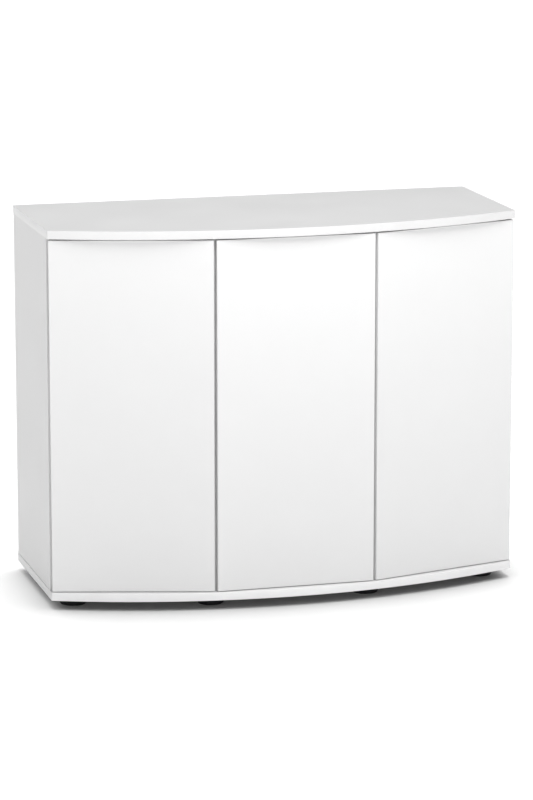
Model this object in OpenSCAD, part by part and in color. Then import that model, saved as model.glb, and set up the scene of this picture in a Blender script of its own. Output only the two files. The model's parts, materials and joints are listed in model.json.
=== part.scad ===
// Bow-front aquarium stand cabinet with three push-to-open doors.
// Origin: centre of the footprint at floor level. +X right, +Y back, +Z up. Millimetres.

/* [Cabinet] */
// Overall width
cab_w = 920; // [900:1:940]
// Overall depth at the middle of the bow
cab_d = 410; // [400:1:430]
// Overall height with the feet
cab_h = 730; // [690:1:780]
// Radius of the bowed front edge of the two boards
bow_r = 1196; // [1150:1:1300]
// Thickness of every board and door
board_t = 16; // [15:1:18]
// How far the side panels stand in from the ends of the boards
side_inset = 1; // [0:0.5:3]
// Centre line of each partition, from the middle
partition_x = 157; // [150:1:162]

/* [Doors] */
// Width of each door
door_w = 308.7; // [300:0.1:309]
// Gap between the bottom board and the doors
door_gap_low = 1.5; // [1:0.5:6]
// Gap between the doors and the top board
door_gap_top = 3; // [1.5:0.5:6]
// Angle of the side doors
door_turn = 15.1; // [14.8:0.1:15.4]
// Height of the lower hinges above the floor
hinge_low = 130; // [110:1:180]
// Height of the upper hinges above the floor
hinge_high = 619; // [560:1:630]

/* [Feet] */
// Height of a foot
foot_h = 18; // [15:1:25]
// Diameter of a foot at its top
foot_top_d = 56; // [50:1:60]
// Diameter of a foot at the floor
foot_low_d = 50; // [40:1:54]

/* [Inside] */
// Height of the shelf pins above the floor
pin_z = 340; // [308, 340, 372]
// Diameter of the shelf pins
pin_d = 4.9; // [4.8:0.05:4.95]
// Thickness of the back panels
back_t = 5; // [3:1:6]
// Width of each hose and cable cut-out
cut_w = 120; // [80:5:160]
// Height of each hose and cable cut-out
cut_h = 60; // [40:5:80]
// Thickness of the edge strips
strip_t = 1; // [0.8:0.1:2]

/* [Hidden] */
$fn = 96;

y_back = cab_d / 2;
y_front = -cab_d / 2;
bow_y = y_front + bow_r;                       // centre of the bow
z0 = foot_h;                                   // underside of the bottom board
z1 = foot_h + board_t;                         // foot of the upright panels
z3 = cab_h;                                    // top of the top board
z2 = cab_h - board_t;                          // head of the upright panels
side_out = cab_w / 2 - side_inset;             // outer face of a side panel
side_in = side_out - board_t;                  // inner face of a side panel
part_out = partition_x + board_t / 2;          // partition face towards the side bay
part_in = partition_x - board_t / 2;           // partition face towards the centre bay
side_front = -94;                              // front edge of the side panels
part_front = -174;                             // front edge of the partitions
door_z = z1 + door_gap_low;
door_h = z2 - door_gap_top - door_z;
chord_r = bow_r - 2;                           // the door corners lie on this arc
corner_x = cab_w / 2 - 1.5;                    // outer front corner of a side door
corner_y = bow_y - sqrt(chord_r * chord_r - corner_x * corner_x);
mid_y = bow_y - sqrt(chord_r * chord_r - door_w * door_w / 4);
hinge_z = [hinge_low, hinge_high];
// hinge pivots from the door's front corner: along the door, behind its face
arm_pin = [24.5, 23.8];
cup_pin = [10.2, 11.4];
cup_c = 22.5;                                  // cup centre from the door's edge
pin_r = 1.5;                                   // hinge pin radius
run = 0.05;                                    // running clearance on the radius
eps = 0.05;
back_y = 189;                                  // front face of the back panels
groove = 5;
pin_rows = [for (i = [-2:2]) 340 + 32 * i];
pin_ys = [-30, 150];
cam_ys = [-60, 135];
dowel_ys = [-28, 103];
cam_off = 34;                                  // cam centre from the panel's end
foot_xy = [[-409, -70], [-154.5, -136], [154.5, -136], [409, -70],
           [-409, 165], [-154.5, 165], [154.5, 165], [409, 165]];
plate_y = 38;                                  // plate screws behind the arm pin
arm_xy = [[-corner_x + arm_pin[0] * cos(door_turn) + arm_pin[1] * sin(door_turn),
           corner_y - arm_pin[0] * sin(door_turn) + arm_pin[1] * cos(door_turn)],
          [-door_w / 2 + arm_pin[0], mid_y + arm_pin[1]]];
latch_z = 692;
strike_u = [290.4, 295.8];                     // strike pad centres along the left and centre doors

white = [0.95, 0.95, 0.94];
strip_white = [0.93, 0.93, 0.92];

// ---------- shared shapes ----------

// moves a shape drawn in a door's own frame to the left (0) or centre (1) door
module door_frame(k) {
    if (k == 0) translate([-corner_x, corner_y, 0]) rotate([0, 0, -door_turn]) children();
    else translate([-door_w / 2, mid_y, 0]) children();
}

// moves a shape drawn about an arm pin, +X away from the panel
module arm_frame(k) { translate([arm_xy[k][0], arm_xy[k][1], 0]) children(); }

module flip(on) { if (on) mirror([1, 0, 0]) children(); else children(); }

// rod along Z from z = a to z = b
module rod(r, a, b, f = 48) { translate([0, 0, a]) cylinder(r = r, h = b - a, $fn = f); }

// flat bar between two points, with a round knuckle at the second, 2D
module bar(p, q, w) {
    d = q - p;
    translate(p) rotate(atan2(d[1], d[0])) translate([0, -w / 2]) square([norm(d), w]);
    translate(q) circle(d = w + 0.3, $fn = 32);
}

// plan outline of the two bowed boards, with the front arc at radius r
module board_plan(r) {
    intersection() {
        translate([-cab_w / 2, -cab_d]) square([cab_w, cab_d + y_back]);
        translate([0, bow_y]) circle(r = r, $fn = 256);
    }
}

module bow_strip(z) {
    color(strip_white) translate([0, 0, z]) linear_extrude(board_t) intersection() {
        translate([-cab_w / 2, -cab_d]) square([cab_w, cab_d]);
        difference() {
            translate([0, bow_y]) circle(r = bow_r, $fn = 256);
            translate([0, bow_y]) circle(r = bow_r - strip_t, $fn = 256);
        }
    }
}

// every cam bolt position: panel middle line, y, and which end (0 low, 1 high)
cams = [for (x = [-side_out + board_t / 2, -partition_x, partition_x, side_out - board_t / 2])
        for (y = cam_ys) for (e = [0, 1]) [x, y, e]];
dowel_pts = [for (x = [-side_out + board_t / 2, -partition_x, partition_x, side_out - board_t / 2])
        for (y = dowel_ys) for (e = [0, 1]) [x, y, e]];

// puts a shape at a panel's end, +Z pointing into the panel
module at_end(e) {
    if (e == 0) translate([0, 0, z1]) children();
    else translate([0, 0, z2]) mirror([0, 0, 1]) children();
}

// side of a panel on which its cams open: +1 towards +X
function cam_side(x) = x < 0 ? 1 : -1;

module cam_holes(px) {
    for (c = cams) if (abs(c[0] - px) < 1) {
        s = cam_side(c[0]);
        translate([c[0], c[1], 0]) at_end(c[2]) {
            rod(3.6, -1, cam_off);
            translate([s * (board_t / 2 - 12.5), 0, cam_off]) rotate([0, s * 90, 0]) cylinder(r = 7.55, h = 13, $fn = 64);
        }
    }
    for (c = dowel_pts) if (abs(c[0] - px) < 1)
        translate([c[0], c[1], 0]) at_end(c[2]) rod(4 + eps, -1, 18.2);
}

module board_holes(e) {
    for (c = cams) if (c[2] == e)
        translate([c[0], c[1], 0]) at_end(e) rod(3 + eps, -11.2, 1);
    for (c = dowel_pts) if (c[2] == e)
        translate([c[0], c[1], 0]) at_end(e) rod(4 + eps, -12.2, 1);
}

// ---------- boards ----------

module top_board() {
    color(white) difference() {
        translate([0, 0, z2]) linear_extrude(board_t) board_plan(bow_r - strip_t);
        board_holes(1);
    }
}

module bottom_board() {
    color(white) difference() {
        translate([0, 0, z0]) linear_extrude(board_t) board_plan(bow_r - strip_t);
        board_holes(0);
        for (p = foot_xy) translate([p[0], p[1], 0]) rod(2 + eps, z0 - 1, z0 + 12.2);
    }
}

module side_panel() {
    color(white) difference() {
        translate([-side_out, side_front + strip_t, z1]) cube([board_t, y_back - side_front - strip_t, z2 - z1]);
        translate([-side_in - groove, back_y, z1 - 1]) cube([groove + 1, back_t, z2 - z1 + 2]);
        cam_holes(-side_out + board_t / 2);
        for (y = pin_ys) for (z = pin_rows) translate([-side_in + 1, y, z]) rotate([0, -90, 0]) cylinder(r = 2.5, h = 11, $fn = 32);
        for (hz = hinge_z) for (s = [-1, 1])
            translate([-side_in + 1, arm_xy[0][1] + plate_y, hz + s * 16]) rotate([0, -90, 0]) cylinder(r = 2 + eps, h = 12.5, $fn = 32);
    }
}

module partition_panel(left) {
    flip(!left) color(white) difference() {
        translate([-part_out, part_front + strip_t, z1]) cube([board_t, y_back - part_front - strip_t, z2 - z1]);
        translate([-part_in - groove, back_y, z1 - 1]) cube([groove + 1, back_t, z2 - z1 + 2]);
        translate([-part_out - 1, back_y, z1 - 1]) cube([groove + 1, back_t, z2 - z1 + 2]);
        cam_holes(-partition_x);
        for (y = pin_ys) for (z = pin_rows) translate([-part_out - 1, y, z]) rotate([0, 90, 0]) cylinder(r = 2.5, h = 11, $fn = 32);
        if (left) for (hz = hinge_z) for (s = [-1, 1])
            translate([-part_in + 1, arm_xy[1][1] + plate_y, hz + s * 16]) rotate([0, -90, 0]) cylinder(r = 2 + eps, h = 12.5, $fn = 32);
    }
}

module left_side_panel() { side_panel(); }
module right_side_panel() { mirror([1, 0, 0]) side_panel(); }
module left_partition() { partition_panel(true); }
module right_partition() { partition_panel(false); }

module back_panel(x_low, x_high) {
    mid = (x_low + x_high) / 2;
    r = 18;
    color(white) difference() {
        translate([x_low - groove + 0.3, back_y + 0.1, z1 + 0.1]) cube([x_high - x_low + 2 * groove - 0.6, back_t - 0.2, z2 - z1 - 0.2]);
        translate([mid, back_y - 1, 670]) rotate([-90, 0, 0]) linear_extrude(back_t + 2) {
            square([cut_w, cut_h - 2 * r], center = true);
            square([cut_w - 2 * r, cut_h], center = true);
            for (sx = [-1, 1]) for (sz = [-1, 1]) translate([sx * (cut_w / 2 - r), sz * (cut_h / 2 - r)]) circle(r = r, $fn = 64);
        }
    }
}

module left_back_panel() { back_panel(-side_in, -part_out); }
module centre_back_panel() { back_panel(-part_in, part_in); }
module right_back_panel() { back_panel(part_out, side_in); }

// shelf in a side bay, its front edge parallel to the door
module shelf() {
    zs = pin_z + pin_d / 2 + 0.05;
    color(white) translate([0, 0, zs]) linear_extrude(board_t) polygon([
        [-side_in + 0.6, back_y - 1], [-side_in + 0.6, side_front + 26],
        [-part_out - 0.6, side_front + 26 - (side_in - part_out - 1.2) * tan(door_turn)],
        [-part_out - 0.6, back_y - 1]]);
}

module left_shelf() { shelf(); }
module right_shelf() { mirror([1, 0, 0]) shelf(); }

module shelf_pins() {
    color([0.75, 0.76, 0.78]) for (m = [false, true]) flip(m) for (y = pin_ys) {
        translate([-side_in - 9.5, y, pin_z]) rotate([0, 90, 0]) cylinder(d = pin_d, h = 17, $fn = 48);
        translate([-side_in, y, pin_z]) rotate([0, 90, 0]) cylinder(d = pin_d, h = 1, $fn = 48);
        translate([-part_out + 9.5, y, pin_z]) rotate([0, -90, 0]) cylinder(d = pin_d, h = 17, $fn = 48);
    }
}

module top_edge_strip() { bow_strip(z2); }
module bottom_edge_strip() { bow_strip(z0); }

module side_edge_strip() {
    color(strip_white) translate([-side_out, side_front, z1]) cube([board_t, strip_t, z2 - z1]);
}
module left_side_edge_strip() { side_edge_strip(); }
module right_side_edge_strip() { mirror([1, 0, 0]) side_edge_strip(); }

module partition_edge_strips() {
    color(strip_white) for (m = [false, true]) flip(m) translate([-part_out, part_front, z1]) cube([board_t, strip_t, z2 - z1]);
}

// ---------- feet ----------

module foot(i) {
    rt = foot_top_d / 2;
    rl = foot_low_d / 2;
    color([0.03, 0.03, 0.035]) translate([foot_xy[i][0], foot_xy[i][1], 0]) rotate_extrude($fn = 96) polygon([
        [5.5, 0], [rl - 1.5, 0], [rl, 1.5], [rt, foot_h - 4], [rt, foot_h],
        [2 + eps, foot_h], [2 + eps, foot_h - 6], [5.5, foot_h - 6]]);
}

module foot_front_left() { foot(0); }
module foot_front_mid_left() { foot(1); }
module foot_front_mid_right() { foot(2); }
module foot_front_right() { foot(3); }
module foot_rear_left() { foot(4); }
module foot_rear_mid_left() { foot(5); }
module foot_rear_mid_right() { foot(6); }
module foot_rear_right() { foot(7); }

module foot_screws() {
    color([0.7, 0.7, 0.72]) for (p = foot_xy) translate([p[0], p[1], 0]) difference() {
        union() {
            rod(2, foot_h - 6.5, foot_h + 12);
            rod(4.2, foot_h - 8.8, foot_h - 6);
        }
        for (a = [0, 90]) rotate(a) translate([-2.6, -0.45, foot_h - 9.8]) cube([5.2, 0.9, 2.4]);
    }
}

// ---------- knock-down fittings ----------

module cam_locks() {
    color([0.72, 0.72, 0.74]) for (c = cams) {
        s = cam_side(c[0]);
        translate([c[0], c[1], 0]) at_end(c[2]) difference() {
            translate([s * (board_t / 2 - 12.4), 0, cam_off]) rotate([0, s * 90, 0]) cylinder(r = 7.5, h = 12.4, $fn = 64);
            rod(3.7, cam_off - 12, cam_off + 4);
            for (a = [0, 90]) translate([s * (board_t / 2 - 1), 0, cam_off]) rotate([a, 0, 0]) cube([4.4, 1.5, 8], center = true);
        }
    }
}

module cam_bolts() {
    color([0.6, 0.6, 0.62]) for (c = cams) translate([c[0], c[1], 0]) at_end(c[2]) {
        rod(3, -11, 24);
        rod(1.9, 23.9, 31);
        rod(3.4, 30.9, 34);
    }
}

module dowels() {
    color([0.8, 0.68, 0.5]) for (c = dowel_pts) translate([c[0], c[1], 0]) at_end(c[2]) rod(4, -12, 18);
}

// ---------- doors, drawn in a door's own frame ----------

module door_panel(k) {
    color(white) door_frame(k) difference() {
        translate([strip_t, 0, door_z + strip_t]) cube([door_w - 2 * strip_t, board_t, door_h - 2 * strip_t]);
        for (hz = hinge_z) {
            translate([cup_c, board_t + 1, hz]) rotate([90, 0, 0]) cylinder(r = 17.5, h = 13.2, $fn = 96);
            for (s = [-1, 1]) translate([32, board_t + 1, hz + s * 22.5]) rotate([90, 0, 0]) cylinder(r = 1.75 + eps, h = 12.1, $fn = 32);
        }
    }
}

module door_edging(k) {
    color(strip_white) door_frame(k) difference() {
        translate([0, 0, door_z]) cube([door_w, board_t, door_h]);
        translate([strip_t, -1, door_z + strip_t]) cube([door_w - 2 * strip_t, board_t + 2, door_h - 2 * strip_t]);
    }
}

module hinge_cups(k) {
    color([0.78, 0.78, 0.8]) door_frame(k) for (hz = hinge_z) translate([0, 0, hz]) {
        difference() {
            union() {
                translate([cup_c, board_t + 1.2, 0]) rotate([90, 0, 0]) cylinder(r = 17.45, h = 13.35, $fn = 96);
                translate([cup_c, board_t + 1.2, 0]) rotate([90, 0, 0]) cylinder(r = 19, h = 1.2, $fn = 96);
                translate([26, board_t, -28]) cube([12, 1.2, 56]);
            }
            translate([cup_c, board_t + 3, 0]) rotate([90, 0, 0]) cylinder(r = 16.4, h = 14.4, $fn = 96);
            for (s = [-1, 1]) translate([32, board_t + 3, s * 22.5]) rotate([90, 0, 0]) cylinder(r = 2, h = 5, $fn = 32);
        }
        translate(cup_pin) rod(pin_r, -10.4, 10.4);
    }
}

module cup_screws(k) {
    color([0.7, 0.7, 0.72]) door_frame(k) for (hz = hinge_z) for (s = [-1, 1]) translate([32, 0, hz + s * 22.5]) difference() {
        union() {
            translate([0, board_t + 1.25, 0]) rotate([90, 0, 0]) cylinder(r = 1.75, h = 12, $fn = 32);
            translate([0, board_t + 3, 0]) rotate([90, 0, 0]) cylinder(r = 3.6, h = 1.75, $fn = 48);
        }
        for (a = [0, 90]) translate([0, board_t + 2.6, 0]) rotate([0, a, 0]) cube([4.4, 1.7, 0.9], center = true);
    }
}

// gooseneck link that reaches from the arm pin into the cup
link_line = [[10.2, 11.4], [11.6, 7.6], [15.6, 6.05], [22.1, 9.2], [26, 14.5], [24.5, 23.8]];
module hinge_links(k) {
    color([0.74, 0.74, 0.76]) door_frame(k) for (hz = hinge_z) translate([0, 0, hz]) difference() {
        union() {
            translate([0, 0, -5]) linear_extrude(10) {
                for (i = [0:4]) bar(link_line[i], link_line[i + 1], 1.9);
                translate(cup_pin) circle(r = 2.6, $fn = 48);
                translate(arm_pin) circle(r = 3.3, $fn = 48);
            }
        }
        translate(cup_pin) rod(pin_r + run, -6, 6);
        translate(arm_pin) rod(pin_r + run, -6, 6);
    }
}

// arm with its two cheeks, web, rivet and adjusting screws, about the arm pin
module hinge_arms(k) {
    color([0.78, 0.78, 0.8]) arm_frame(k) for (hz = hinge_z) translate([0, 0, hz]) {
        difference() {
            union() {
                for (s = [-1, 1]) translate([0, 0, s > 0 ? 6.2 : -7.8]) linear_extrude(1.6) {
                    circle(r = 4.2, $fn = 48);
                    translate([-4.2, 0]) square([8.4, 60]);
                }
                translate([2.8, 8, -7.8]) cube([1.4, 52, 15.6]);
            }
            for (y = [20, 46]) translate([2, y, 0]) rotate([0, 90, 0]) cylinder(r = 2.6, h = 4, $fn = 32);
        }
        rod(pin_r, -8.6, 8.6);
        for (s = [-1, 1]) rod(2.3, s > 0 ? 7.8 : -8.6, s > 0 ? 8.6 : -7.8);
    }
}

module hinge_plates(k) {
    d = k == 0 ? arm_xy[0][0] + side_in : arm_xy[1][0] + part_in;
    color([0.7, 0.7, 0.72]) arm_frame(k) for (hz = hinge_z) translate([0, 0, hz]) difference() {
        union() {
            translate([-d, 22, -8]) cube([2.2, 40, 16]);
            translate([-d, plate_y - 8, -22]) cube([2.2, 16, 44]);
            translate([-d, 26, -6.1]) cube([d + 2.7, 32, 12.2]);
            for (y = [46]) translate([2.6, y, 0]) rotate([0, 90, 0]) cylinder(r = 2.5, h = 1.6, $fn = 32);
        }
        for (s = [-1, 1]) translate([-d - 1, plate_y, s * 16]) rotate([0, 90, 0]) cylinder(r = 2 + eps, h = 6, $fn = 32);
        translate([3.4, 46, 0]) cube([1.8, 0.8, 4], center = true);
        translate([3.4, 46, 0]) cube([1.8, 4, 0.8], center = true);
    }
}

module plate_screws(k) {
    d = k == 0 ? arm_xy[0][0] + side_in : arm_xy[1][0] + part_in;
    arm_frame(k) for (hz = hinge_z) for (s = [-1, 1]) translate([-d, plate_y, hz + s * 16]) difference() {
        union() {
            translate([-11, 0, 0]) rotate([0, 90, 0]) cylinder(r = 2, h = 13.5, $fn = 32);
            translate([2.25, 0, 0]) rotate([0, 90, 0]) cylinder(r = 3.6, h = 1.8, $fn = 48);
        }
        for (a = [0, 90]) translate([3.7, 0, 0]) rotate([a, 0, 0]) cube([1.9, 0.9, 4.4], center = true);
    }
}

module hinge_plate_screws() {
    color([0.7, 0.7, 0.72]) { plate_screws(0); plate_screws(1); mirror([1, 0, 0]) plate_screws(0); }
}

module strike_pad(k) {
    color([0.8, 0.8, 0.82]) door_frame(k) translate([strike_u[k], board_t + 1.6, latch_z]) rotate([90, 0, 0]) cylinder(r = 6, h = 1.6, $fn = 64);
}

// ---------- push latches ----------
// drawn for a panel face at x = 0, the latch on its -X side, +Y into the cabinet
// from the front of the housing
latch_xy = [[-part_out, -164.4], [part_in, -169.6]];
module latch_frame(k) { translate([latch_xy[k][0], latch_xy[k][1], latch_z]) children(); }

module latch_housing(k) {
    color([0.86, 0.86, 0.85]) latch_frame(k) difference() {
        union() {
            translate([-14, 0, -9]) cube([14, 72, 18]);
            translate([-3, 22, -17]) cube([3, 30, 34]);
        }
        translate([-7.5, -1, 0]) rotate([-90, 0, 0]) cylinder(r = 4 + run, h = 59, $fn = 64);
        for (s = [-1, 1]) translate([-4, 37, s * 13]) rotate([0, 90, 0]) cylinder(r = 1.8, h = 5, $fn = 32);
    }
}

module latch_plunger(k) {
    color([0.9, 0.9, 0.9]) latch_frame(k) translate([-7.5, 0, 0]) {
        translate([0, -1.5, 0]) rotate([-90, 0, 0]) cylinder(r = 4, h = 46, $fn = 64);
        translate([0, -1.5, 0]) sphere(r = 4, $fn = 64);
    }
}

module left_door() { door_panel(0); }
module left_door_edging() { door_edging(0); }
module left_hinge_cups() { hinge_cups(0); }
module left_cup_screws() { cup_screws(0); }
module left_hinge_links() { hinge_links(0); }
module left_hinge_arms() { hinge_arms(0); }
module left_hinge_plates() { hinge_plates(0); }
module left_strike_pad() { strike_pad(0); }
module left_latch_housing() { latch_housing(0); }
module left_latch_plunger() { latch_plunger(0); }

module centre_door() { door_panel(1); }
module centre_door_edging() { door_edging(1); }
module centre_hinge_cups() { hinge_cups(1); }
module centre_cup_screws() { cup_screws(1); }
module centre_hinge_links() { hinge_links(1); }
module centre_hinge_arms() { hinge_arms(1); }
module centre_hinge_plates() { hinge_plates(1); }
module centre_strike_pad() { strike_pad(1); }
module centre_latch_housing() { latch_housing(1); }
module centre_latch_plunger() { latch_plunger(1); }

module right_door() { mirror([1, 0, 0]) door_panel(0); }
module right_door_edging() { mirror([1, 0, 0]) door_edging(0); }
module right_hinge_cups() { mirror([1, 0, 0]) hinge_cups(0); }
module right_cup_screws() { mirror([1, 0, 0]) cup_screws(0); }
module right_hinge_links() { mirror([1, 0, 0]) hinge_links(0); }
module right_hinge_arms() { mirror([1, 0, 0]) hinge_arms(0); }
module right_hinge_plates() { mirror([1, 0, 0]) hinge_plates(0); }
module right_strike_pad() { mirror([1, 0, 0]) strike_pad(0); }
module right_latch_housing() { mirror([1, 0, 0]) latch_housing(0); }
module right_latch_plunger() { mirror([1, 0, 0]) latch_plunger(0); }

top_board();
bottom_board();
left_side_panel();
right_side_panel();
left_partition();
right_partition();
left_back_panel();
centre_back_panel();
right_back_panel();
left_shelf();
right_shelf();
shelf_pins();
top_edge_strip();
bottom_edge_strip();
left_side_edge_strip();
right_side_edge_strip();
partition_edge_strips();
foot_front_left();
foot_front_mid_left();
foot_front_mid_right();
foot_front_right();
foot_rear_left();
foot_rear_mid_left();
foot_rear_mid_right();
foot_rear_right();
foot_screws();
cam_locks();
cam_bolts();
dowels();
hinge_plate_screws();
left_door();
left_door_edging();
left_hinge_cups();
left_cup_screws();
left_hinge_links();
left_hinge_arms();
left_hinge_plates();
left_strike_pad();
left_latch_housing();
left_latch_plunger();
centre_door();
centre_door_edging();
centre_hinge_cups();
centre_cup_screws();
centre_hinge_links();
centre_hinge_arms();
centre_hinge_plates();
centre_strike_pad();
centre_latch_housing();
centre_latch_plunger();
right_door();
right_door_edging();
right_hinge_cups();
right_cup_screws();
right_hinge_links();
right_hinge_arms();
right_hinge_plates();
right_strike_pad();
right_latch_housing();
right_latch_plunger();
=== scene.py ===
# Bow-front aquarium stand cabinet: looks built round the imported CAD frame.
import bpy
import bmesh
import json
import math
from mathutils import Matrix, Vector
from mathutils.geometry import tessellate_polygon

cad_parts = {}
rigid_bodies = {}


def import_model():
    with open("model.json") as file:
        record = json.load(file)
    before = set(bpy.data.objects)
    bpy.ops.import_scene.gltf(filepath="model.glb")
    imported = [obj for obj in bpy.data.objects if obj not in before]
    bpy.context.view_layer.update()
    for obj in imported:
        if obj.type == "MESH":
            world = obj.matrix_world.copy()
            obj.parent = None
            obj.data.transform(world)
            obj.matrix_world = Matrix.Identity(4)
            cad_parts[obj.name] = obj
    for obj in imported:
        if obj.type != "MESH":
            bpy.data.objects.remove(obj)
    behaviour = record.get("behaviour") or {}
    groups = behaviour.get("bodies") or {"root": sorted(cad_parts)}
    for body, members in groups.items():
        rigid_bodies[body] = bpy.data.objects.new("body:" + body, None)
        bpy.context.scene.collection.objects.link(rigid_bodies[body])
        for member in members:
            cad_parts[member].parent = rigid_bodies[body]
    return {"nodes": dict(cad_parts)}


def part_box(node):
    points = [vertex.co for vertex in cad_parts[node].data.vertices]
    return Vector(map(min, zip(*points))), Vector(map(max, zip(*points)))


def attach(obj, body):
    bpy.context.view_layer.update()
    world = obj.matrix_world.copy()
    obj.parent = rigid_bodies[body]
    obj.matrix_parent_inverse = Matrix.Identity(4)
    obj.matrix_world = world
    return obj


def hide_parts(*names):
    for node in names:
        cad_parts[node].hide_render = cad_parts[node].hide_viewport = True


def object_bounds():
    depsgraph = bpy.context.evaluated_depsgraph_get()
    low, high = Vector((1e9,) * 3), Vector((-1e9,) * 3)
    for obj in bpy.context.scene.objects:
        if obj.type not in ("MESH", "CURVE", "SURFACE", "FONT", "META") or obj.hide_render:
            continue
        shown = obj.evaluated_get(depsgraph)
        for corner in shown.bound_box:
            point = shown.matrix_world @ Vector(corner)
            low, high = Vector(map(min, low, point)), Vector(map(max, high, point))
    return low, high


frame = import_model()
cad_lo, cad_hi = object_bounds()
nodes = frame["nodes"]
scene = bpy.context.scene
MM = 0.001

# ---------------------------------------------------------------- sizes, all taken from the frame's boxes
top_lo, top_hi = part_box("top_edge_strip")
bot_lo, bot_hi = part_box("bottom_edge_strip")
board_t = top_hi.z - top_lo.z
half_w = cad_hi.x
y_front = cad_lo.y
y_back = cad_hi.y
corner_y = top_hi.y                      # where the bow meets the straight sides
bulge = corner_y - y_front
# the strip's box ends on its inner arc, so the radius is the design's own
BOW_R = 1196 * MM
STRIP = 1.0 * MM
bow_cy = y_front + BOW_R


def arc_y(x, r=BOW_R):
    return bow_cy - math.sqrt(r * r - x * x)


# ---------------------------------------------------------------- camera
def make_camera():
    data = bpy.data.cameras.new("camera")
    cam = bpy.data.objects.new("camera", data)
    scene.collection.objects.link(cam)
    yaw, pitch = math.radians(15.466), math.radians(12.038)
    cam.location = (-1.8437, -6.6433, 1.8293)
    fwd = Vector((math.sin(yaw) * math.cos(pitch), math.cos(yaw) * math.cos(pitch), -math.sin(pitch)))
    cam.rotation_mode = "QUATERNION"
    cam.rotation_quaternion = fwd.to_track_quat("-Z", "Y")
    data.sensor_fit = "AUTO"
    data.sensor_width = 36
    data.lens = 163.25
    data.clip_start, data.clip_end = 0.1, 300
    scene.camera = cam
    return cam


make_camera()
scene.view_settings.view_transform = "Standard"
scene.view_settings.look = "None"

# ---------------------------------------------------------------- materials


def new_material(name):
    m = bpy.data.materials.new(name)
    m.use_nodes = True
    nt = m.node_tree
    bsdf = next(n for n in nt.nodes if n.type == "BSDF_PRINCIPLED")
    return m, nt, bsdf


def coords(nt, scale=(1, 1, 1)):
    tc = nt.nodes.new("ShaderNodeTexCoord")
    mp = nt.nodes.new("ShaderNodeMapping")
    mp.inputs["Scale"].default_value = scale
    nt.links.new(tc.outputs["Object"], mp.inputs["Vector"])
    return mp.outputs["Vector"]


def noise(nt, vec, scale, detail=4.0, rough=0.5):
    n = nt.nodes.new("ShaderNodeTexNoise")
    n.inputs["Scale"].default_value = scale
    n.inputs["Detail"].default_value = detail
    n.inputs["Roughness"].default_value = rough
    nt.links.new(vec, n.inputs["Vector"])
    return n.outputs["Fac"]


def ramp(nt, fac, stops):
    r = nt.nodes.new("ShaderNodeValToRGB")
    while len(r.color_ramp.elements) > 1:
        r.color_ramp.elements.remove(r.color_ramp.elements[-1])
    r.color_ramp.elements[0].position = stops[0][0]
    r.color_ramp.elements[0].color = (*stops[0][1], 1)
    for pos, col in stops[1:]:
        e = r.color_ramp.elements.new(pos)
        e.color = (*col, 1)
    nt.links.new(fac, r.inputs["Fac"])
    return r.outputs["Color"]


def span(nt, fac, lo, hi, a=0.3, b=0.7):
    m = nt.nodes.new("ShaderNodeMapRange")
    m.inputs["From Min"].default_value = a
    m.inputs["From Max"].default_value = b
    m.inputs["To Min"].default_value = lo
    m.inputs["To Max"].default_value = hi
    nt.links.new(fac, m.inputs["Value"])
    return m.outputs["Result"]


def math_node(nt, op, a, b):
    m = nt.nodes.new("ShaderNodeMath")
    m.operation = op
    for i, v in enumerate((a, b)):
        if isinstance(v, (int, float)):
            m.inputs[i].default_value = v
        else:
            nt.links.new(v, m.inputs[i])
    return m.outputs[0]


def bump(nt, bsdf, height, strength, distance):
    b = nt.nodes.new("ShaderNodeBump")
    b.inputs["Strength"].default_value = strength
    b.inputs["Distance"].default_value = distance
    nt.links.new(height, b.inputs["Height"])
    nt.links.new(b.outputs["Normal"], bsdf.inputs["Normal"])


def melamine(name, base, rough=0.42, seed=0.0):
    """White faced board: faint mottling, fine pearl grain."""
    m, nt, bsdf = new_material(name)
    vec = coords(nt)
    big = noise(nt, vec, 7.0 + seed, 3.0, 0.55)
    fine = noise(nt, vec, 850.0, 2.0, 0.6)
    both = math_node(nt, "ADD", math_node(nt, "MULTIPLY", big, 0.7), math_node(nt, "MULTIPLY", fine, 0.3))
    d = tuple(c * 0.993 for c in base)
    u = tuple(min(1.0, c * 1.007) for c in base)
    nt.links.new(ramp(nt, both, [(0.34, d), (0.66, u)]), bsdf.inputs["Base Color"])
    nt.links.new(span(nt, big, rough - 0.04, rough + 0.05), bsdf.inputs["Roughness"])
    bsdf.inputs["Specular IOR Level"].default_value = 0.42
    bump(nt, bsdf, math_node(nt, "ADD", fine, math_node(nt, "MULTIPLY", noise(nt, vec, 260.0, 2.0, 0.5), 0.6)), 0.12, 0.00012)
    return m


def edge_plastic(name, base, rough=0.33):
    """Edge strip: smoother than the board, with faint lengthwise milling marks."""
    m, nt, bsdf = new_material(name)
    vec = coords(nt)
    fine = noise(nt, vec, 600.0, 2.0, 0.5)
    d = tuple(c * 0.985 for c in base)
    u = tuple(min(1.0, c * 1.01) for c in base)
    nt.links.new(ramp(nt, noise(nt, vec, 18.0, 3.0, 0.5), [(0.35, d), (0.65, u)]), bsdf.inputs["Base Color"])
    nt.links.new(span(nt, fine, rough - 0.04, rough + 0.06), bsdf.inputs["Roughness"])
    bsdf.inputs["Specular IOR Level"].default_value = 0.45
    bump(nt, bsdf, fine, 0.08, 0.0001)
    return m


def black_plastic(name):
    m, nt, bsdf = new_material(name)
    vec = coords(nt)
    grain = noise(nt, vec, 1400.0, 2.0, 0.6)
    scuff = noise(nt, vec, 90.0, 5.0, 0.6)
    nt.links.new(ramp(nt, scuff, [(0.35, (0.012, 0.012, 0.013)), (0.7, (0.022, 0.022, 0.023))]), bsdf.inputs["Base Color"])
    nt.links.new(span(nt, grain, 0.42, 0.62), bsdf.inputs["Roughness"])
    bsdf.inputs["Specular IOR Level"].default_value = 0.35
    bump(nt, bsdf, grain, 0.35, 0.00015)
    return m


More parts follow.
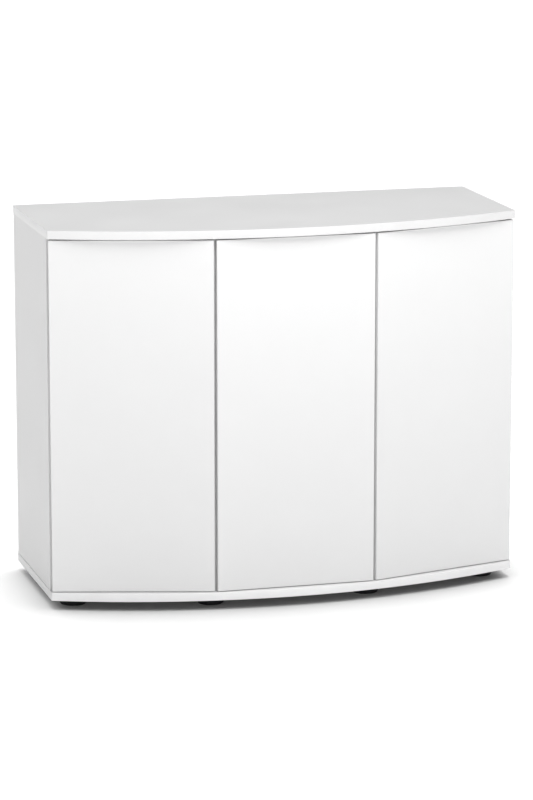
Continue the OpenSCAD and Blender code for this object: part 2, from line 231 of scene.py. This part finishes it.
def grey_plastic(name, base=(0.62, 0.62, 0.61)):
    m, nt, bsdf = new_material(name)
    vec = coords(nt)
    grain = noise(nt, vec, 1100.0, 2.0, 0.6)
    d = tuple(c * 0.95 for c in base)
    nt.links.new(ramp(nt, noise(nt, vec, 60.0, 4.0, 0.6), [(0.35, d), (0.65, base)]), bsdf.inputs["Base Color"])
    nt.links.new(span(nt, grain, 0.38, 0.52), bsdf.inputs["Roughness"])
    bump(nt, bsdf, grain, 0.25, 0.0001)
    return m


def metal(name, base, rough, stretch=(1, 1, 14)):
    """Plated or cast metal with fine drawn lines and faint spots."""
    m, nt, bsdf = new_material(name)
    vec = coords(nt, stretch)
    lines = noise(nt, vec, 420.0, 3.0, 0.55)
    spots = noise(nt, coords(nt), 160.0, 4.0, 0.6)
    d = tuple(c * 0.86 for c in base)
    nt.links.new(ramp(nt, math_node(nt, "ADD", math_node(nt, "MULTIPLY", lines, 0.6), math_node(nt, "MULTIPLY", spots, 0.4)), [(0.35, d), (0.62, base)]), bsdf.inputs["Base Color"])
    bsdf.inputs["Metallic"].default_value = 1.0
    nt.links.new(span(nt, spots, rough - 0.05, rough + 0.1), bsdf.inputs["Roughness"])
    bump(nt, bsdf, lines, 0.06, 0.00008)
    return m


def dowel_wood(name):
    m, nt, bsdf = new_material(name)
    vec = coords(nt, (1, 1, 0.08))
    rings = noise(nt, vec, 900.0, 5.0, 0.6)
    nt.links.new(ramp(nt, rings, [(0.3, (0.42, 0.27, 0.14)), (0.5, (0.58, 0.41, 0.24)), (0.72, (0.68, 0.52, 0.33))]), bsdf.inputs["Base Color"])
    nt.links.new(span(nt, rings, 0.55, 0.75), bsdf.inputs["Roughness"])
    bump(nt, bsdf, rings, 0.3, 0.0002)
    return m


WHITE = (0.80, 0.80, 0.80)
mat_board = melamine("white_melamine", WHITE)
# a darker copy of the white melamine for the side panels and the other carcass panels: painted shade that dims the
# sides as if they were less lit
mat_panel_painted_shade = melamine("white_melamine_panel_painted_shade", (0.755, 0.755, 0.755), 0.45, 1.7)
mat_door = melamine("white_melamine_door", WHITE, 0.40, 2.9)
mat_back = melamine("white_hardboard", (0.76, 0.76, 0.75), 0.55, 4.1)
mat_edge = edge_plastic("white_edge_strip", (0.79, 0.79, 0.79))
mat_black = black_plastic("black_plastic")
mat_grey = grey_plastic("grey_plastic")
mat_nickel = metal("nickel_plate", (0.66, 0.65, 0.63), 0.24)
mat_zinc = metal("zinc_casting", (0.56, 0.57, 0.58), 0.36, (1, 1, 3))
mat_dowel = dowel_wood("beech_dowel")


def paint(name, mat):
    o = nodes[name]
    o.data.materials.clear()
    o.data.materials.append(mat)


for n in nodes:
    if n.startswith("foot_") and n != "foot_screws":
        paint(n, mat_black)
    elif "strip" in n or "edging" in n:
        paint(n, mat_edge)
    elif "back_panel" in n:
        paint(n, mat_back)
    elif n == "dowels":
        paint(n, mat_dowel)
    elif n == "cam_locks":
        paint(n, mat_zinc)
    elif "latch" in n:
        paint(n, mat_grey)
    elif any(k in n for k in ("screws", "bolts", "cups", "links", "arms", "plates", "pins", "strike")):
        paint(n, mat_nickel)
    elif n.endswith("_door"):
        paint(n, mat_door)
    elif "board" in n:
        paint(n, mat_board)
    else:
        paint(n, mat_panel_painted_shade)

# ---------------------------------------------------------------- mesh helpers


def make_object(name, verts, faces, mat, sharp=35):
    me = bpy.data.meshes.new(name)
    me.from_pydata([tuple(v) for v in verts], [], faces)
    me.validate()
    bm = bmesh.new()
    bm.from_mesh(me)
    bmesh.ops.remove_doubles(bm, verts=bm.verts, dist=1e-7)
    bmesh.ops.recalc_face_normals(bm, faces=bm.faces)
    bm.to_mesh(me)
    bm.free()
    for p in me.polygons:
        p.use_smooth = True
    me.set_sharp_from_angle(angle=math.radians(sharp))
    me.materials.append(mat)
    o = bpy.data.objects.new(name, me)
    scene.collection.objects.link(o)
    return o


def soften(o, angle=30):
    """Smooth shading with sharp creases on a CAD node."""
    for p in o.data.polygons:
        p.use_smooth = True
    o.data.set_sharp_from_angle(angle=math.radians(angle))


def quarter(n, r):
    """Points of a rounded corner as (inset, rise), from the face to the side."""
    return [(r * (1 - math.sin(a)), r * (1 - math.cos(a))) for a in (math.pi / 2 * i / n for i in range(n + 1))]


# ---------------------------------------------------------------- bowed boards and their edge strips
ARC_N = 160


def board_outline(inset):
    """Plan outline of a board core: the front follows the strip, the rest is inset."""
    hw = half_w - inset
    pts = []
    for i in range(ARC_N + 1):
        x = -hw + 2 * hw * i / ARC_N
        pts.append((x, arc_y(x, BOW_R - STRIP)))
    pts.append((hw, y_back - inset))
    pts.append((-hw, y_back - inset))
    return pts


def bow_board(name, node, z_low, z_high, body="carcass", r=0.6 * MM):
    prof = []
    for inset, rise in reversed(quarter(4, r)):      # from side to face, at the bottom
        prof.append((inset, z_low + rise))
    prof = sorted(prof, key=lambda p: -p[0])
    prof = [(i, z) for i, z in prof] + [(i, z_high - (z - z_low)) for i, z in reversed(prof)]
    rings, verts, faces = [], [], []
    for inset, z in prof:
        ring = []
        for x, y in board_outline(inset):
            ring.append(len(verts))
            verts.append((x, y, z))
        rings.append(ring)
    n = len(rings[0])
    for a, b in zip(rings[:-1], rings[1:]):
        for k in range(n):
            faces.append((a[k], a[(k + 1) % n], b[(k + 1) % n], b[k]))
    faces.append(tuple(reversed(rings[0])))
    faces.append(tuple(rings[-1]))
    o = make_object(name, verts, faces, mat_board)
    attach(o, body)
    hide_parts(node)
    return o


def bow_edge(name, node, z_low, z_high, body="carcass", r=0.9 * MM):
    """Strip on the bowed edge, its two outer edges rounded."""
    prof = [(BOW_R - STRIP, z_low)]
    for k in range(6):
        a = math.pi / 2 * k / 5
        prof.append((BOW_R - r + r * math.sin(a), z_low + r - r * math.cos(a)))
    for k in range(6):
        a = math.pi / 2 * k / 5
        prof.append((BOW_R - r + r * math.cos(a), z_high - r + r * math.sin(a)))
    prof.append((BOW_R - STRIP, z_high))
    cols = [(-half_w, 0.35 * MM), (-half_w + 0.25 * MM, 0.08 * MM)]
    cols += [(-half_w + 0.6 * MM + (2 * half_w - 1.2 * MM) * i / ARC_N, 0.0) for i in range(ARC_N + 1)]
    cols += [(half_w - 0.25 * MM, 0.08 * MM), (half_w, 0.35 * MM)]
    verts, faces, rings = [], [], []
    for x, cut in cols:
        ring = []
        for rho, z in prof:
            ring.append(len(verts))
            rr = min(rho, BOW_R - cut)
            verts.append((x, arc_y(x, rr), z))
        rings.append(ring)
    n = len(prof)
    for a, b in zip(rings[:-1], rings[1:]):
        for k in range(n):
            faces.append((a[k], b[k], b[(k + 1) % n], a[(k + 1) % n]))
    faces.append(tuple(rings[0]))
    faces.append(tuple(reversed(rings[-1])))
    o = make_object(name, verts, faces, mat_edge)
    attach(o, body)
    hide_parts(node)
    return o


bow_board("top_board_core", "top_board", top_lo.z, top_hi.z)
bow_board("bottom_board_core", "bottom_board", bot_lo.z, bot_hi.z)
bow_edge("top_bow_edge", "top_edge_strip", top_lo.z, top_hi.z)
bow_edge("bottom_bow_edge", "bottom_edge_strip", bot_lo.z, bot_hi.z)

# ---------------------------------------------------------------- door edging with rounded edges
DOOR_W = 308.7 * MM
TURN = math.radians(15.1)


def door_axes(which):
    """Hinge-side front corner and the two directions of a door, from its edging's box."""
    lo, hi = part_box(which + "_door_edging")
    if which == "centre":
        return Vector((lo.x, lo.y, 0)), Vector((1, 0, 0)), Vector((0, 1, 0)), lo.z, hi.z
    s = 1 if which == "left" else -1
    along = Vector((s * math.cos(TURN), -math.sin(TURN), 0))
    inward = Vector((s * math.sin(TURN), math.cos(TURN), 0))
    outer_x = lo.x if which == "left" else hi.x
    # the free front corner is the lowest y of the box
    free_y = lo.y
    corner = Vector((outer_x, free_y + DOOR_W * math.sin(TURN), 0))
    return corner, along, inward, lo.z, hi.z


def door_edge(which):
    corner, along, inward, z_low, z_high = door_axes(which)
    t = 16 * MM
    r = 0.5 * MM
    prof = [(STRIP, 0.0)]
    for k in range(1, 7):
        a = math.pi / 2 * k / 6
        prof.append((r - r * math.sin(a), r - r * math.cos(a)))
    for k in range(0, 6):
        a = math.pi / 2 * k / 6
        prof.append((r - r * math.cos(a), t - r + r * math.sin(a)))
    prof.append((STRIP, t))
    verts, faces, rings = [], [], []
    for inset, depth in prof:
        ring = []
        for u, z in ((inset, z_low + inset), (DOOR_W - inset, z_low + inset), (DOOR_W - inset, z_high - inset), (inset, z_high - inset)):
            ring.append(len(verts))
            verts.append(corner + along * u + inward * depth + Vector((0, 0, z)))
        rings.append(ring)
    n = len(rings)
    for j in range(n):
        a, b = rings[j], rings[(j + 1) % n]
        for k in range(4):
            faces.append((a[k], a[(k + 1) % 4], b[(k + 1) % 4], b[k]))
    o = make_object(which + "_door_edge", verts, faces, mat_edge, 40)
    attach(o, which + "_door")
    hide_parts(which + "_door_edging")
    return o


for w in ("left", "centre", "right"):
    door_edge(w)

# ---------------------------------------------------------------- feet


def lathe(name, cx, cy, prof, mat, n=72):
    verts, faces, rings = [], [], []
    for r, z in prof:
        ring = []
        for i in range(n):
            a = 2 * math.pi * i / n
            ring.append(len(verts))
            verts.append((cx + r * math.cos(a), cy + r * math.sin(a), z))
        rings.append(ring)
    m = len(rings)
    for j in range(m):
        a, b = rings[j], rings[(j + 1) % m]
        for k in range(n):
            faces.append((a[k], a[(k + 1) % n], b[(k + 1) % n], b[k]))
    return make_object(name, verts, faces, mat, 40)


def round_profile(points, radii, seg=4):
    """Closed profile with its corners rounded."""
    out = []
    n = len(points)
    for i in range(n):
        p = Vector(points[i])
        a, b = Vector(points[i - 1]), Vector(points[(i + 1) % n])
        r = radii[i]
        if r <= 0:
            out.append(tuple(p))
            continue
        u, v = (a - p).normalized(), (b - p).normalized()
        ang = u.angle(v)
        d = min(r / math.tan(ang / 2), (a - p).length * 0.45, (b - p).length * 0.45)
        p0, p1 = p + u * d, p + v * d
        for k in range(seg + 1):
            t = k / seg
            out.append(tuple((1 - t) ** 2 * p0 + 2 * t * (1 - t) * p + t * t * p1))
    return out


for n in [k for k in nodes if k.startswith("foot_") and k != "foot_screws"]:
    lo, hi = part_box(n)
    cx, cy = (lo.x + hi.x) / 2, (lo.y + hi.y) / 2
    rt, h = (hi.x - lo.x) / 2, hi.z - lo.z
    rl = rt - 3 * MM
    pts = [(5.5 * MM, 0), (rl - 0.5 * MM, 0), (rl, 1.2 * MM), (rt, h - 4 * MM), (rt, h), (2.05 * MM, h), (2.05 * MM, h - 6 * MM), (5.5 * MM, h - 6 * MM)]
    rad = [0.4 * MM, 1.2 * MM, 1.0 * MM, 1.2 * MM, 0.5 * MM, 0, 0, 0]
    o = lathe(n + "_moulded", cx, cy, round_profile(pts, rad), mat_black)
    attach(o, "carcass")
    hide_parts(n)

# ---------------------------------------------------------------- hinge cups, pressed from sheet
# along the door, behind its front face, height
CUP_ALONG, WING_ALONG, SCREW_UP = 22.5 * MM, 32 * MM, 22.5 * MM
CUP_R, LIP_R, WALL_R = 17.4 * MM, 19 * MM, 16.45 * MM
SEAT, RIM = 16.02 * MM, 17.2 * MM
BOWL_OUT, BOWL_IN = 3.9 * MM, 4.85 * MM


def flange_gap(u, z):
    """Signed distance to the flange outline: the lip circle blended into the screw wings."""
    a = math.hypot(u - CUP_ALONG, z) - LIP_R
    qu, qz = abs(u - WING_ALONG) - 0.5 * MM, abs(z) - 22.5 * MM
    b = math.hypot(max(qu, 0), max(qz, 0)) + min(max(qu, qz), 0) - 5.5 * MM
    h = max(4 * MM - abs(a - b), 0) / (4 * MM)
    return min(a, b) - h * h * MM


def flange_loop(inset, n=240):
    pts = []
    for i in range(n):
        c, s = math.cos(2 * math.pi * i / n), math.sin(2 * math.pi * i / n)
        lo, hi = 0.0, 45 * MM
        for _ in range(40):
            mid = (lo + hi) / 2
            if flange_gap(30 * MM + mid * c, mid * s) < -inset:
                lo = mid
            else:
                hi = mid
        pts.append((30 * MM + lo * c, lo * s))
    return pts


def circle_loop(u, z, r, n):
    return [(u + r * math.cos(2 * math.pi * i / n), z + r * math.sin(2 * math.pi * i / n)) for i in range(n)]


def skin(faces, rings):
    for a, b in zip(rings, rings[1:]):
        n = len(a)
        for k in range(n):
            faces.append((a[k], a[(k + 1) % n], b[(k + 1) % n], b[k]))


def cap(verts, faces, rings):
    """Fills a flat outline with holes."""
    flat = [i for ring in rings for i in ring]
    tris = tessellate_polygon([[Vector((verts[i][0], verts[i][2], 0)) for i in ring] for ring in rings])
    faces.extend(tuple(flat[k] for k in t) for t in tris)


FLANGE = [(flange_loop(e), d) for e, d in ((0.3 * MM, SEAT), (0.0, SEAT + 0.3 * MM), (0.0, RIM - 0.45 * MM), (0.13 * MM, RIM - 0.13 * MM), (0.45 * MM, RIM))]


def hinge_cup(verts, faces, hz):
    def ring(loop, depth):
        start = len(verts)
        verts.extend((u, depth, z + hz) for u, z in loop)
        return list(range(start, len(verts)))

    def bowl(profile):
        return [ring(circle_loop(CUP_ALONG, 0, r, 96), d) for r, d in profile]

    side = [ring(loop, d) for loop, d in FLANGE]
    skin(faces, side)
    steps = [math.pi / 2 * k / 6 for k in range(1, 6)]
    f = 2.2 * MM
    outer = bowl([(CUP_R, SEAT), (CUP_R, BOWL_OUT + f)] + [(CUP_R - f + f * math.cos(a), BOWL_OUT + f - f * math.sin(a)) for a in steps] + [(CUP_R - f, BOWL_OUT)])
    g, h = 0.7 * MM, 1.4 * MM
    inner = bowl([(WALL_R + g, RIM)] + [(WALL_R + g - g * math.sin(a), RIM - g + g * math.cos(a)) for a in steps] + [(WALL_R, RIM - g), (WALL_R, BOWL_IN + h)]
                 + [(WALL_R - h + h * math.cos(a), BOWL_IN + h - h * math.sin(a)) for a in steps] + [(WALL_R - h, BOWL_IN)])
    tops, bottoms = [side[-1], inner[0]], [side[0], outer[0]]
    for sg in (1, -1):
        hole = [ring(circle_loop(WING_ALONG, sg * SCREW_UP, r, 32), d) for r, d in ((2.3 * MM, RIM), (2.0 * MM, RIM - 0.3 * MM), (2.0 * MM, SEAT))]
        skin(faces, hole)
        tops.append(hole[0])
        bottoms.append(hole[-1])
    skin(faces, outer)
    skin(faces, inner)
    faces.append(tuple(outer[-1]))
    faces.append(tuple(inner[-1]))
    cap(verts, faces, tops)
    cap(verts, faces, bottoms)


def cup_pin(verts, faces, hz):
    rings = []
    for r, z in ((1.2 * MM, -10.4 * MM), (1.5 * MM, -10.1 * MM), (1.5 * MM, 10.1 * MM), (1.2 * MM, 10.4 * MM)):
        start = len(verts)
        verts.extend((u, d, hz + z) for u, d in circle_loop(10.2 * MM, 11.4 * MM, r, 32))
        rings.append(list(range(start, len(verts))))
    skin(faces, rings)
    faces.append(tuple(rings[0]))
    faces.append(tuple(rings[-1]))


for w in ("left", "centre", "right"):
    corner, along, inward, z_low, z_high = door_axes(w)
    cup_lo, cup_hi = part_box(w + "_hinge_cups")
    verts, faces = [], []
    for hz in (cup_lo.z + 28 * MM, cup_hi.z - 28 * MM):
        hinge_cup(verts, faces, hz)
        cup_pin(verts, faces, hz)
    pts = [corner + along * u + inward * d + Vector((0, 0, z)) for u, d, z in verts]
    o = make_object(w + "_hinge_cups_pressed", pts, faces, mat_nickel, 32)
    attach(o, w + "_door")
    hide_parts(w + "_hinge_cups")

# ---------------------------------------------------------------- CAD nodes that stay: shading and small bevels
for name, o in nodes.items():
    if o.hide_render:
        continue
    soften(o)


def bevel(name, width, seg=2, angle=40):
    o = nodes[name]
    b = o.modifiers.new("bevel", "BEVEL")
    b.width = width
    b.segments = seg
    b.limit_method = "ANGLE"
    b.angle_limit = math.radians(angle)
    b.harden_normals = False


for w in ("left", "centre", "right"):
    bevel(w + "_hinge_arms", 0.25 * MM)
    bevel(w + "_hinge_plates", 0.3 * MM)
    bevel(w + "_latch_housing", 0.6 * MM)
for n in ("left_shelf", "right_shelf"):
    bevel(n, 0.6 * MM, 3)

# ---------------------------------------------------------------- floor and light
FLOOR_ALBEDO = 0.30
FLOOR_WIDE = 0.85
FLOOR_TIGHT = 0.27
FLOOR_LOW = 0.10
KEY_W = 27.5
RIM_W = 24
SEAM = 0.13
FILL_W = 5.0
LOW_W = 5.8
TOP_W = 84


def floor():
    s = 60.0
    me = bpy.data.meshes.new("floor")
    me.from_pydata([(-s, -s, 0), (s, -s, 0), (s, s, 0), (-s, s, 0)], [], [(0, 1, 2, 3)])
    o = bpy.data.objects.new("floor", me)
    scene.collection.objects.link(o)
    m, nt, bsdf = new_material("floor_paper")
    vec = coords(nt)
    nt.links.new(ramp(nt, noise(nt, vec, 2.0, 2.0, 0.5), [(0.3, (0.29, 0.29, 0.29)), (0.7, (0.31, 0.31, 0.31))]), bsdf.inputs["Base Color"])
    bsdf.inputs["Roughness"].default_value = 0.9
    bsdf.inputs["Specular IOR Level"].default_value = 0.1
    me.materials.append(m)
    return o


the_floor = floor()


def area(name, loc, target, size, power, size_y=None, spread=180):
    d = bpy.data.lights.new(name, "AREA")
    d.shape = "RECTANGLE"
    d.size = size
    d.size_y = size_y or size
    d.energy = power
    d.spread = math.radians(spread)
    o = bpy.data.objects.new(name, d)
    o.location = loc
    o.rotation_mode = "QUATERNION"
    o.rotation_quaternion = (Vector(target) - Vector(loc)).to_track_quat("-Z", "Y")
    scene.collection.objects.link(o)
    o.visible_camera = False
    return o


world = bpy.data.worlds.new("studio")
scene.world = world
world.use_nodes = True
wt = world.node_tree
bg = next(n for n in wt.nodes if n.type == "BACKGROUND")
out = next(n for n in wt.nodes if n.type == "OUTPUT_WORLD")
bg.inputs["Color"].default_value = (1, 1, 1, 1)
bg.inputs["Strength"].default_value = 0.41
paper = wt.nodes.new("ShaderNodeBackground")       # what is seen past the floor's edge
paper.inputs["Color"].default_value = (1, 1, 1, 1)
paper.inputs["Strength"].default_value = 1.05
path = wt.nodes.new("ShaderNodeLightPath")
pick = wt.nodes.new("ShaderNodeMixShader")
wt.links.new(path.outputs["Is Camera Ray"], pick.inputs["Fac"])
wt.links.new(bg.outputs[0], pick.inputs[1])
wt.links.new(paper.outputs[0], pick.inputs[2])
wt.links.new(pick.outputs[0], out.inputs["Surface"])

# lights that only the floor receives: they make the paper white and leave the
# tight shadow under the cabinet; the wide one is shaded by the low pieces alone
def group(name, objects):
    c = bpy.data.collections.new(name)
    for o in objects:
        c.objects.link(o)
    return c


def sun(name, strength, angle, tilt_x=0.0, tilt_y=0.0):
    d = bpy.data.lights.new(name, "SUN")
    d.energy = strength * math.pi
    d.angle = math.radians(angle)
    o = bpy.data.objects.new(name, d)
    o.location = (0, 0, 4)
    o.rotation_euler = (math.radians(tilt_x), math.radians(tilt_y), 0)
    scene.collection.objects.link(o)
    return o


floor_only = group("floor_only", [the_floor])
low_pieces = group("low_pieces", [o for o in scene.objects if o.name == "bottom_board_core" or o.name == "bottom_bow_edge" or o.name.endswith("_moulded")])
wide = sun("floor_wide", FLOOR_WIDE / FLOOR_ALBEDO, 116, -18)
wide.light_linking.receiver_collection = floor_only
wide.light_linking.blocker_collection = low_pieces
tight = sun("floor_tight", FLOOR_TIGHT / FLOOR_ALBEDO, 14, -0.5, 2.5)
tight.light_linking.receiver_collection = floor_only
low = sun("floor_low", FLOOR_LOW / FLOOR_ALBEDO, 12, 77)      # reaches a little way in under the front edge
low.light_linking.receiver_collection = floor_only
low.light_linking.blocker_collection = low_pieces

# the key light stays off the floor and the top board, which have even lights of their own
pieces = [o for o in scene.objects if o.type == "MESH"]
top_only = group("top_only", [o for o in pieces if o.name == "top_board_core"])
top_rim = group("top_rim", [o for o in pieces if o.name == "top_bow_edge"])
not_top = group("all_but_top", [o for o in pieces if o.name != "top_board_core" and o != the_floor])
keyed = group("keyed", [o for o in not_top.objects if o.name not in top_rim.objects])
KEY_AT, KEY_TO = (0.08, -0.98, 2.05), (0, -0.1, 0.5)
area("front_softbox", KEY_AT, KEY_TO, 1.2, KEY_W, 1.2).light_linking.receiver_collection = keyed
area("rim_softbox", (-0.06, -0.98, 2.05), KEY_TO, 1.2, RIM_W, 1.2).light_linking.receiver_collection = top_rim
# a little light on the partitions' front edges, seen through the gaps between the doors
seam = sun("seam_glow", SEAM, 20, 75)
seam.light_linking.receiver_collection = group("seam_edges", [o for o in pieces if o.name == "partition_edge_strips"])
seam.light_linking.blocker_collection = floor_only
area("front_fill", (0.45, -4.2, 0.7), (0, -0.1, 0.3), 1.3, FILL_W, 0.9).light_linking.receiver_collection = not_top
area("low_fill", (0.1, -2.0, 0.25), (0, -0.2, 0.03), 1.4, LOW_W, 0.3).light_linking.receiver_collection = group("low_edge", [o for o in pieces if o.name == "bottom_bow_edge"])
over = area("top_softbox", (0.0, 0.0, 4.2), (0, 0, 0.73), 2.4, TOP_W, 2.4)
over.light_linking.receiver_collection = top_only
